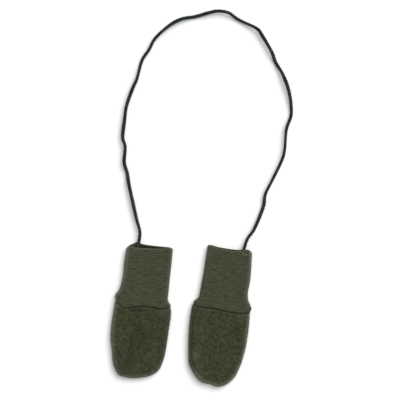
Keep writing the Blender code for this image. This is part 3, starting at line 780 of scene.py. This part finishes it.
def set_light():
    world = bpy.data.worlds.new("studio")
    world.use_nodes = True
    sky = world.node_tree.nodes["Background"]
    sky.inputs["Color"].default_value = (1.0, 1.0, 1.0, 1.0)
    sky.inputs["Strength"].default_value = SKY_STRENGTH
    bpy.context.scene.world = world
    lamp = bpy.data.lights.new("soft_lamp", "SUN")
    lamp.energy = LAMP_STRENGTH
    lamp.angle = math.radians(LAMP_SPREAD)
    holder = link_object("soft_lamp", lamp)
    holder.rotation_euler = (0.0, math.radians(LAMP_TILT), math.radians(LAMP_SIDE))
    bpy.context.scene.view_settings.view_transform = "Standard"


def set_floor():
    mesh = bmesh.new()
    bmesh.ops.create_grid(mesh, x_segments=2, y_segments=2, size=FLOOR_SIZE / 2 * MM)
    floor = link_object("floor", free_to_data("floor", mesh))
    paper = bpy.data.materials.new("white_paper")
    paper.use_nodes = True
    shader = paper.node_tree.nodes["Principled BSDF"]
    shader.inputs["Base Color"].default_value = (FLOOR_TONE, FLOOR_TONE, FLOOR_TONE, 1.0)
    shader.inputs["Roughness"].default_value = 1.0
    shader.inputs["Specular IOR Level"].default_value = 0.0
    floor.data.materials.append(paper)


# ---- cord --------------------------------------------------------------------------------------
def twisted_cord(material):
    """Three strands laid round the route, with the strands' own plies left to the yarn's finish."""
    line = smooth_line(CORD_ROUTE, CORD_STEP)
    ahead = np.gradient(line, axis=0)
    ahead /= np.linalg.norm(ahead, axis=1)[:, None]
    beside = np.cross(ahead, (0.0, 0.0, 1.0))
    beside /= np.linalg.norm(beside, axis=1)[:, None]
    above = np.cross(beside, ahead)
    turned = 2 * math.pi * line_lengths(line) / CORD_TURN
    fullness = 1 + CORD_UNEVEN * lumps(line, CORD_LUMP, SEEDS["cord"])
    mesh = bmesh.new()
    for strand in range(CORD_STRANDS):
        angle = turned + 2 * math.pi * strand / CORD_STRANDS
        outward = np.cos(angle)[:, None] * beside + np.sin(angle)[:, None] * above
        strand_line = line + STRAND_OFFSET * fullness[:, None] * outward
        lay_tube(mesh, strand_line, outward, STRAND_RADIUS * fullness, STRAND_SIDES)
    close_up(mesh)
    for vertex in mesh.verts:
        vertex.co.z = max(vertex.co.z, 0.0)
    cord = add_piece("cord_strands", mesh, material)
    write_attribute(cord, "nap", np.ones(len(cord.data.vertices)))
    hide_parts("cord")
    return cord


def declare_cord(fuzz):
    """Works out points along the cord's route, in metres, and keeps none of them."""
    path = smooth_line(CORD_ROUTE, PATH_STEP) * MM


# ---- rib cuffs ---------------------------------------------------------------------------------
def to_heading(mitten, across, along):
    """A direction in a mitten's own frame as its x and y parts."""
    lean = math.radians(mitten.lean)
    return (across * math.cos(lean) + along * math.sin(lean),
            along * math.cos(lean) - across * math.sin(lean))


def to_surface(mitten, across, along):
    """A mitten's own across and along as x and y on the surface, in millimetres."""
    x, y = to_heading(mitten, across, along)
    return mitten.place[0] + x, mitten.place[1] + y


def from_surface(mitten, x, y):
    """The other way: x and y in millimetres as the mitten's across and along."""
    lean = math.radians(mitten.lean)
    dx, dy = x - mitten.place[0], y - mitten.place[1]
    return dx * math.cos(lean) - dy * math.sin(lean), dx * math.sin(lean) + dy * math.cos(lean)


def seam_shift(mitten, across, along):
    """How far cloth at this place is carried along by the line of the cuff seam."""
    fade = 1 - blend(np.abs(along), 0.0, SEAM_REACH)
    return read_table(mitten.seam, "across", "along", across) * fade


def section(left, right, height, share, inset):
    """Places on a flattened tube's section: across, z and the outward direction's two parts.

    The share runs once round: under layer from left to right, right turn, upper layer, left turn.
    """
    turn = height / 2
    straight = left + right - height
    bow = math.pi * turn
    distance = share * (2 * straight + 2 * bow)
    past_right = distance - straight
    past_left = distance - 2 * straight - bow
    upper = (past_right >= bow) & (past_left < 0)
    under = past_right < 0
    angle = np.where(past_left >= 0, past_left / turn + math.pi / 2, past_right / turn - math.pi / 2)
    angle = np.where(under, -math.pi / 2, np.where(upper, math.pi / 2, angle))
    centre = np.where(under, -left + turn + distance,
                      np.where(upper, right - turn - (past_right - bow),
                               np.where(past_left >= 0, -left + turn, right - turn)))
    out_across, out_z = np.cos(angle), np.sin(angle)
    return centre + (turn - inset) * out_across, turn + (turn - inset) * out_z, out_across, out_z


def cuff_rings():
    """The rings of the doubled wall, from the sewn end round by the mouth and back inside."""
    rings = []
    for turn in np.linspace(0.0, math.pi / 2, END_ROWS, endpoint=False):
        rings.append(Ring(reach=0.0, past=CUFF_END_ROUND * (1 - math.cos(turn)),
                          depth=CUFF_END_ROUND * (1 - math.sin(turn)),
                          ribbed=END_RIBBED * math.sin(turn),
                          cloth=CUFF_END_ROUND * (turn - math.pi / 2), lining=0.0))
    fold = CUFF_WALL / 2
    outer = round(CUFF_LENGTH / ROW_STEP)
    for reach in np.linspace(0.0, 1.0, outer + 1):
        rings.append(Ring(reach=reach, past=CUFF_END_ROUND * (1 - reach) - fold * reach, depth=0.0,
                          ribbed=blend(reach, *RIBS_BEGIN), cloth=reach * CUFF_LENGTH, lining=0.0))
    for turn in np.linspace(0.0, math.pi, FOLD_ROWS + 1)[1:]:
        ribbed = math.cos(turn / 2) ** 2 + LINING_RIBBED * math.sin(turn / 2) ** 2
        rings.append(Ring(reach=1.0, past=fold * (math.sin(turn) - 1),
                          depth=fold * (1 - math.cos(turn)), ribbed=ribbed,
                          cloth=CUFF_LENGTH + fold * turn, lining=blend(turn, *FOLD_INSIDE)))
    fine = round(LINING_FINE / ROW_STEP)
    inner = np.concatenate([np.linspace(0.0, LINING_FINE, fine + 1)[1:],
                            np.linspace(LINING_FINE, CUFF_LENGTH, LINING_ROWS + 1)[1:]])
    for back in inner:
        reach = 1 - back / CUFF_LENGTH
        ribbed = LINING_RIBBED * (1 - blend(back, LINING_SMOOTH, LINING_FINE))
        rings.append(Ring(reach=reach, past=-fold * reach, depth=CUFF_WALL, ribbed=ribbed,
                          cloth=CUFF_LENGTH + fold * math.pi + back, lining=1.0))
    rings.append(rings[0]._replace(cloth=rings[-1].cloth + CUFF_END_ROUND, lining=1.0))
    return np.array(rings)


def cuff_sizes(mitten, along):
    """How far a cuff's tube reaches to the left and right, and its height, at places along it."""
    return [read_table(mitten.cuff, "along", name, along) for name in ("left", "right", "height")]


def rib_relief(share, across, along, cloth):
    """How far the ribs, slack courses and hem line stand out from the plain tube."""
    phase = share * RIB_COUNT % 1.0
    from_valley = 0.5 - np.abs(phase - 0.5)
    rib = RIB_CROWN - RIB_DROP * np.exp(-(from_valley / RIB_VALLEY) ** 2)
    wander = np.sin(across / WANDER_ACROSS + WANDER_BEND * np.sin(along / WANDER_ALONG))
    course = (along + BAND_WANDER * wander) / BAND % 1.0
    slack = -np.exp(-((course - 0.5) / BAND_WIDTH) ** 2)
    hem = -np.exp(-((CUFF_LENGTH - cloth - HEM_LINE) / HEM_WIDTH) ** 2)
    return RIB_RISE * rib + BAND_RISE * slack + HEM_DEPTH * hem


def knit_cuff(mitten):
    """A cuff's rings as places, and as places on its cloth: round the tube and along it."""
    share = np.linspace(0.0, 1.0, RIB_COUNT * RIB_POINTS + 1)[None, :]
    reach, past, depth, ribbed, cloth, lining = (column[:, None] for column in cuff_rings().T)
    left, right, height = cuff_sizes(mitten, reach * CUFF_LENGTH + past)
    across, z, out_across, out_z = section(left, right, height, share, depth)
    upper = z / height
    front, back = (read_table(mitten.mouth, "across", name, across) for name in ("front", "back"))
    along = reach * (back + (front - back) * upper) + past
    along = along + seam_shift(mitten, across, along) + PIECE_GAP / 2
    raised = ribbed * rib_relief(share, across, along, cloth)
    outside = lining < 0.5
    raised = raised - RIB_RISE * RIB_CROWN * (1 - blend(upper, *PRESSED_UNDER)) * outside
    across = across + raised * out_across
    z = np.maximum(z + raised * out_z + cuff_creases(mitten, across, along, upper), 0.0)
    x, y = to_surface(mitten, across, along)
    places = np.stack(np.broadcast_arrays(x, y, z), axis=2)
    return places, np.stack(np.broadcast_arrays(share * CUFF_GIRTH * MM, cloth * MM), axis=2)


def rib_cuff(mitten, material):
    """A rib cuff; written on it: painted shade inside, pale teased edges with painted sheen, fibres'
    nap.
    """
    mesh = bmesh.new()
    lay_grid(mesh, *knit_cuff(mitten))
    close_up(mesh)
    cuff = add_piece(f"{mitten.side}_rib_cuff", mesh, material)
    x, y, z = point_places(cuff.data).T
    across, along = from_surface(mitten, x, y)
    past_fold = along_cloth(cuff.data) - CUFF_LENGTH
    # painted shade of the unlit inside, stored under "lining"
    inside = painted_lining_shade(across, z, past_fold)
    pale = cuff_wear_and_sheen(mitten, across, along, past_fold)
    write_attribute(cuff, "lining", inside)
    write_attribute(cuff, "wear_and_sheen", pale)
    write_attribute(cuff, "nap", (1 - inside) * (NAP_EVEN + pale))
    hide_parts(f"{mitten.side}_cuff")
    return cuff


def cuff_creases(mitten, across, along, upper):
    """How far the creases move the upper layer down and the under layer up."""
    moved = np.zeros(np.broadcast_shapes(across.shape, along.shape))
    for crease in marks_on(CREASES, mitten, "cuff top"):
        moved = moved - crease_depth(crease, across, along) * blend(upper, *CREASE_TOP)
    for crease in marks_on(CREASES, mitten, "cuff under"):
        moved = moved + crease_depth(crease, across, along) * (1 - blend(upper, *CREASE_UNDER))
    return moved


def painted_lining_shade(across, z, past_fold):
    """How much painted shade the cuff's unlit inside gets, which begins just past the fold."""
    under = 1 - blend(z, *UNDER_LAYER)
    lit = 1 - blend(across, *RIM_LIT_END)
    later = under * (RIM_LIT * lit - RIM_SHADED * (1 - lit))
    return blend(past_fold - later, LINING_START, LINING_FULL)


def cuff_wear_and_sheen(mitten, across, along, past_fold):
    """Teasing and painted sheen: pale along the rib's sides and turn, a painted highlight on its
    fold.
    """
    left, right, _ = cuff_sizes(mitten, along)
    from_side = np.minimum(across + left, right - across)
    outward = np.column_stack([np.sign(across), np.zeros(len(across))])
    worn = CUFF_BLOOM_LEAST + (1 - CUFF_BLOOM_LEAST) * blend(along, *CUFF_BLOOM_START)
    worn *= 1 + CUFF_MOUTH_BLOOM * blend(along, *CUFF_MOUTH_NEAR)
    return (worn * (1 - blend(from_side, 0.0, CUFF_BLOOM_WIDTH)) * outer_share(mitten, outward)
            + worn * CUFF_TURN_BLOOM * np.exp(-np.maximum(from_side, 0.0) / CUFF_TURN_WIDTH)
            + CUFF_LIP_HIGHLIGHT * np.exp(-((past_fold - CUFF_LIP) / CUFF_LIP_WIDTH) ** 2))


def along_cloth(data):
    """How far along its cloth each of a cuff's points is, from the UV map."""
    pattern = np.zeros(len(data.loops) * 2, np.float32)
    data.uv_layers.active.data.foreach_get("uv", pattern)
    corner = np.zeros(len(data.loops), np.int32)
    data.loops.foreach_get("vertex_index", corner)
    cloth = np.zeros(len(data.vertices))
    cloth[corner] = pattern.reshape(-1, 2)[:, 1] / MM
    return cloth


# ---- seams and stitches ------------------------------------------------------------------------
def seam_yarn(mitten, material):
    """The yarn in the groove between cuff and body, with the seam's stitches wound round it."""
    # its dark colour is partly painted shade, standing in for the groove's shadow
    end = mitten.cuff[0]
    share = np.linspace(0.0, 1.0, round(CUFF_GIRTH / SEAM_STEP) + 1)
    across, z, out_across, out_z = section(end.left, end.right, end.height, share, SEAM_INSET)
    x, y = to_surface(mitten, across, seam_shift(mitten, across, 0.0))
    line = np.column_stack([x, y, z])
    outward = np.column_stack([*to_heading(mitten, out_across, 0.0), out_z])
    forward = np.array((*to_heading(mitten, 0.0, 1.0), 0.0))
    mesh = bmesh.new()
    lay_tube(mesh, line, outward, SEAM_RADIUS, STRAND_SIDES)
    turned = 2 * math.pi * line_lengths(line)[:, None] / STITCH_PITCH
    wound = np.cos(turned) * outward + np.sin(turned) * forward
    lay_tube(mesh, line + SEAM_RADIUS * wound, wound, WOUND_RADIUS, THREAD_SIDES)
    close_up(mesh)
    return add_piece(f"{mitten.side}_seam_yarn", mesh, material)


def cuff_top(mitten, across, along):
    """The height of a cuff's upper face, which falls off at its two sides."""
    left, right, height = cuff_sizes(mitten, along)
    turn = height / 2
    beyond = np.clip(np.maximum(across - right, -across - left) + turn, 0.0, turn)
    return turn + np.sqrt(turn ** 2 - beyond ** 2)


def over_cord(across, _):
    """The height of a stitch that goes over the cord's end, on the left cuff's under layer."""
    aside = np.abs(across - LEFT_CORD_ACROSS)
    bend = CORD_DIAMETER / 2 + THREAD_RADIUS
    over = CORD_HELD + np.sqrt(np.maximum(bend ** 2 - aside ** 2, 0.0))
    beside = CUFF_WALL + (CORD_HELD - CUFF_WALL) * np.exp(-(aside - bend) / STITCH_SLOPE)
    return np.where(aside < bend, over, beside)


def thread(mesh, mitten, points, height, radius=THREAD_RADIUS):
    """One thread that arches over the cloth from each of its turning points to the next."""
    line = []
    for start, end in zip(points[:-1], points[1:]):
        for t in np.linspace(0.0, 1.0, STITCH_STEPS, endpoint=False):
            across = start.across + (end.across - start.across) * t
            along = start.along + (end.along - start.along) * t
            rise = STITCH_RISE * math.sin(math.pi * t)
            line.append((*to_surface(mitten, across, along), float(height(across, along)) + rise))
    line.append((*to_surface(mitten, *points[-1]), float(height(*points[-1]))))
    outward = np.tile((0.0, 0.0, 1.0), (len(line), 1))
    lay_tube(mesh, np.array(line), outward, radius, THREAD_SIDES)


def cord_tack(mitten, light, plain, dark):
    """The stitches that hold the cord's end in a cuff, with strokes of painted shadow on the right.
    """
    mesh = bmesh.new()
    if mitten.side == "left":
        thread(mesh, mitten, LEFT_TACK, over_cord, WOUND_RADIUS)
        close_up(mesh)
        return [add_piece("left_tack_thread", mesh, plain)]
    on_top = partial(cuff_top, mitten)
    thread(mesh, mitten, RIGHT_TACK, on_top)
    thread(mesh, mitten, RIGHT_TACK_TOP, on_top)
    close_up(mesh)
    shade = bmesh.new()
    for stitch in RIGHT_TACK_SHADE:
        thread(shade, mitten, stitch, on_top)
    close_up(shade)
    return [add_piece("right_tack_thread", mesh, light),
            add_piece("right_tack_painted_shadow", shade, dark)]


# ---- wool panels -------------------------------------------------------------------------------
def finer_copy(node, name, voxel):
    """A merged copy of a CAD node's mesh as a bmesh, in small even faces, smoothed."""
    mesh = bmesh.new()
    mesh.from_mesh(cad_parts[node].data)
    bmesh.ops.remove_doubles(mesh, verts=mesh.verts, dist=MERGE_DISTANCE * MM)
    block = link_object(name, free_to_data(name, mesh))
    remesh = block.modifiers.new("even_faces", "REMESH")
    remesh.mode = "VOXEL"
    remesh.voxel_size = voxel * MM
    bpy.context.view_layer.update()
    even = bpy.data.meshes.new_from_object(block.evaluated_get(bpy.context.evaluated_depsgraph_get()))
    bpy.data.objects.remove(block)
    mesh = bmesh.new()
    mesh.from_mesh(even)
    for _ in range(SMOOTH_ROUNDS):
        bmesh.ops.smooth_vert(mesh, verts=mesh.verts, factor=SMOOTH_SHARE, use_axis_x=True,
                              use_axis_y=True, use_axis_z=True)
    bmesh.ops.recalc_face_normals(mesh, faces=mesh.faces)
    mesh.normal_update()
    return mesh


def outer_share(mitten, outward):
    """How much the cloth is teased, with painted sheen, where it faces each outward direction."""
    side = -1.0 if mitten.side == "left" else 1.0
    level = np.linalg.norm(outward[:, :2], axis=1) + 1e-6
    to_side = mitten.worn_side * side * outward[:, 0] / level
    to_tip = -mitten.worn_tip * outward[:, 1] / level
    return np.maximum(np.maximum(to_side, to_tip), BLOOM_LEAST)


def to_edge(mitten, across, along):
    """The direction from a body's middle line to each place, as it faces on the surface."""
    forward = np.minimum(along - TIP_START, 0.0)
    return np.column_stack(to_heading(mitten, across, forward))


def from_edge(places, normals, below):
    """How far in from the body's sewn edge each point is, seen from above."""
    middle = places.mean(axis=0)
    faces_out = np.einsum("ij,ij->i", normals[:, :2], (places - middle)[:, :2]) > 0
    edge = places[(np.abs(normals[:, 2]) < EDGE_UPRIGHT) & faces_out & (below > PANEL_END)]
    tree = kdtree.KDTree(len(edge))
    for number, place in enumerate(edge):
        tree.insert((place[0], place[1], 0.0), number)
    tree.balance()
    return np.array([tree.find((place[0], place[1], 0.0))[2] for place in places])


def crease_depth(crease, across, along):
    """How deep a crease is at each place."""
    heading = math.radians(crease.heading)
    dx, dy = across - crease.across, along - crease.along
    down = dx * math.cos(heading) + dy * math.sin(heading)
    aside = -dx * math.sin(heading) + dy * math.cos(heading)
    return (crease.depth * np.exp(-(aside / crease.width) ** 2)
            * (1 - blend(np.abs(down), CREASE_FULL * crease.reach, crease.reach)))


def edge_seam(across, along):
    """How near each place is to the line of the right back's sewn edge, from 0 to 1."""
    aside = across - read_table(EDGE_SEAM, "along", "across", along)
    start, end = EDGE_SEAM[0].along, EDGE_SEAM[-1].along
    return (np.exp(-(aside / EDGE_SEAM_WIDTH) ** 2) * blend(along, start, start + EDGE_SEAM_FADE)
            * (1 - blend(along, end - EDGE_SEAM_FADE, end)))


def gather_puckers(mitten, across, below, seed):
    """How far the puckers below the cuff seam stand out."""
    spread = np.column_stack([across / (GATHER_SPACING / 2), below / GATHER_DRAWN,
                              np.full(len(across), seed)])
    gathered = blend(below, *GATHER_START) * (1 - blend(below, GATHER_FULL, GATHER_REACH))
    gathered *= 1 + GATHER_MOST * np.exp(-((across - mitten.gathered) / GATHER_SPAN) ** 2)
    return GATHER_RISE * lumps(spread, 1.0, seed) * gathered


def wool_panel(mitten, face, voxel, material, seed):
    """One panel of boiled wool: the CAD panel's form with felt lumps, creases and puckers."""
    node = f"{mitten.side}_{face}"
    mesh = finer_copy(node, f"{node}_wool", voxel)
    places = np.array([vertex.co for vertex in mesh.verts]) / MM
    normals = np.array([vertex.normal for vertex in mesh.verts])
    across, along = from_surface(mitten, places[:, 0], places[:, 1])
    below = seam_shift(mitten, across, along) - along
    felt = lumps(places, LUMP_SIZE, seed)
    curls = lumps(places, CURL_SIZE, seed + CURL_SEED)
    sewn = edge_seam(across, along) * (node == "right_back")
    turned = 1 - np.abs(normals[:, 2])
    worn = outer_share(mitten, normals)
    flat = np.clip(np.abs(normals[:, 2]) * FLAT_GAIN - FLAT_LEAST, 0.0, 1.0)
    raised = (LUMP_RISE * felt + CURL_RISE * curls
              + gather_puckers(mitten, across, below, seed) * flat)
    for crease in marks_on(CREASES, mitten, face):
        raised -= crease_depth(crease, across, along) * flat
    raised -= EDGE_SEAM_DEPTH * sewn
    raised -= RIM_WEAR * worn * blend(turned, *RIM_TURN)
    moved = places + raised[:, None] * normals
    moved[:, 2] = np.maximum(moved[:, 2], 0.0)
    for vertex, place in zip(mesh.verts, moved):
        vertex.co = place * MM
    panel = add_piece(f"{node}_wool", mesh, material)
    # pale teased fibres and painted sheen: more where the cloth turns from level, less where it faces
    # down
    edge_worn = outer_share(mitten, to_edge(mitten, across, along))
    inward = from_edge(places, normals, below)
    lit = BLOOM_UNDER + (1 - BLOOM_UNDER) * blend(normals[:, 2], *BLOOM_TURN)
    pale = turned ** BLOOM_POWER * worn * lit
    pale += BLOOM_INNER * np.exp(-inward / BLOOM_FADE) * edge_worn
    pale *= 1 - EDGE_SEAM_CLEAN * sewn
    for patch in marks_on(RUBBED, mitten, face):
        away = np.hypot(across - patch.across, along - patch.along)
        pale += patch.strength * np.exp(-(away / patch.radius) ** 2)
    # painted light and shade: lighter on lumps and curls, darker along the sewn edge and the cuff
    # seam
    relief = LUMP_PAINTED_LIGHT * felt + CURL_PAINTED_LIGHT * curls - EDGE_SEAM_SHADE * sewn
    relief = relief - SEAM_SHADE * (1 - blend(below, 0.0, SEAM_SHADE_REACH))
    outward = normals[:, 2] if face == "back" else -normals[:, 2]
    write_attribute(panel, "relief", relief)
    write_attribute(panel, "wear_and_sheen", pale)
    write_attribute(panel, "nap", (outward > NAP_INSIDE) * (NAP_EVEN + turned * worn))
    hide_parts(node)
    return panel


# ---- loose fibres ------------------------------------------------------------------------------
def add_fuzz(piece, fuzz, material, seed):
    """Loose fibres that stand off a piece: flat strips, each tapered and bent over its own way."""
    random = np.random.default_rng(seed)
    data = piece.data
    data.calc_loop_triangles()
    corners = np.zeros(len(data.loop_triangles) * 3, np.int32)
    data.loop_triangles.foreach_get("vertices", corners)
    corners = corners.reshape(-1, 3)
    triangles = point_places(data)[corners]
    cross = np.cross(triangles[:, 1] - triangles[:, 0], triangles[:, 2] - triangles[:, 0])
    area = np.linalg.norm(cross, axis=1)
    nap = read_attribute(data, "nap")[corners].mean(axis=1)
    shown = area * nap * (triangles[:, :, 2].mean(axis=1) > FUZZ_FLOOR)
    chosen = random.choice(len(area), fuzz.count, p=shown / shown.sum())
    weights = random.dirichlet((1.0, 1.0, 1.0), fuzz.count)
    roots = np.einsum("ij,ijk->ik", weights, triangles[chosen])
    normal = cross[chosen] / area[chosen][:, None]
    side = np.cross(normal, random.normal(size=(fuzz.count, 3)))
    side /= np.linalg.norm(side, axis=1)[:, None]
    leaning = np.cross(normal, side)
    length = fuzz.length * random.uniform(*FUZZ_LENGTHS, fuzz.count)[:, None]
    curl = random.uniform(-FUZZ_CURL, FUZZ_CURL, fuzz.count)[:, None]
    on_fibre = partial(fibre_point, roots, normal, leaning, side, length, curl, fuzz.lift)
    strip = []
    for share, width in FUZZ_WIDTHS.items():
        half = 0.5 * fuzz.width * width * side
        strip += [on_fibre(share) - half, on_fibre(share) + half]
    strip.append(on_fibre(1.0))
    points = np.stack(strip, axis=1)
    points[:, :, 2] = np.maximum(points[:, :, 2], FUZZ_CLEAR)
    faces = [tuple(corner + len(strip) * fibre for corner in face)
             for fibre in range(fuzz.count) for face in FUZZ_FACES]
    loose = bpy.data.meshes.new(f"{piece.name}_fuzz")
    loose.from_pydata((points.reshape(-1, 3) * MM).tolist(), [], faces)
    return ride_body(loose.name, loose, material)


def fibre_point(roots, normal, leaning, side, length, curl, lift, share):
    """A point on each fibre: it rises first and then lies over."""
    rise = lift * math.sin(share * math.pi * FUZZ_OVER)
    return roots + length * (rise * normal + (1 - lift) * share * leaning + curl * share ** 2 * side)


# ---- the whole ---------------------------------------------------------------------------------
def main():
    set_camera()
    set_light()
    set_floor()
    yarn = cord_yarn()
    wool = boiled_wool()
    rib = rib_knit()
    seam_yarn_and_shade = plain_yarn("seam_yarn_and_painted_shade", SEAM_YARN, SEAM_LIGHT, SEAM_DARK)
    light_thread = plain_yarn("light_thread", SEWING_THREAD, THREAD_LIGHT, THREAD_DARK)
    plain_thread = plain_yarn("plain_thread", SEWING_THREAD, RIB_LIGHT, RIB_DARK)
    wool_fibre = plain_yarn("wool_fibre", LOOSE_FIBRE, FLEECE_LIGHT, FLEECE_DARK)
    rib_fibre = plain_yarn("rib_fibre", LOOSE_FIBRE, RIB_LIGHT, RIB_DARK)
    yarn_fibre = plain_yarn("yarn_fibre", LOOSE_FIBRE, YARN_LIGHT, YARN_DARK)

    cord = twisted_cord(yarn)
    declare_cord(add_fuzz(cord, CORD_FUZZ, yarn_fibre, SEEDS["cord_fuzz"]))
    for number, mitten in enumerate(MITTENS):
        seeds = {kind: start + number for kind, start in SEEDS.items()}
        back = wool_panel(mitten, "back", BACK_VOXEL, wool, seeds["back"])
        palm = wool_panel(mitten, "palm", PALM_VOXEL, wool, seeds["palm"])
        cuff = rib_cuff(mitten, rib)
        seam = seam_yarn(mitten, seam_yarn_and_shade)
        back_fuzz = add_fuzz(back, BACK_FUZZ, wool_fibre, seeds["back_fuzz"])
        palm_fuzz = add_fuzz(palm, PALM_FUZZ, wool_fibre, seeds["palm_fuzz"])
        cuff_fuzz = add_fuzz(cuff, CUFF_FUZZ, rib_fibre, seeds["cuff_fuzz"])
        tack = cord_tack(mitten, light_thread, plain_thread, seam_yarn_and_shade)


main()
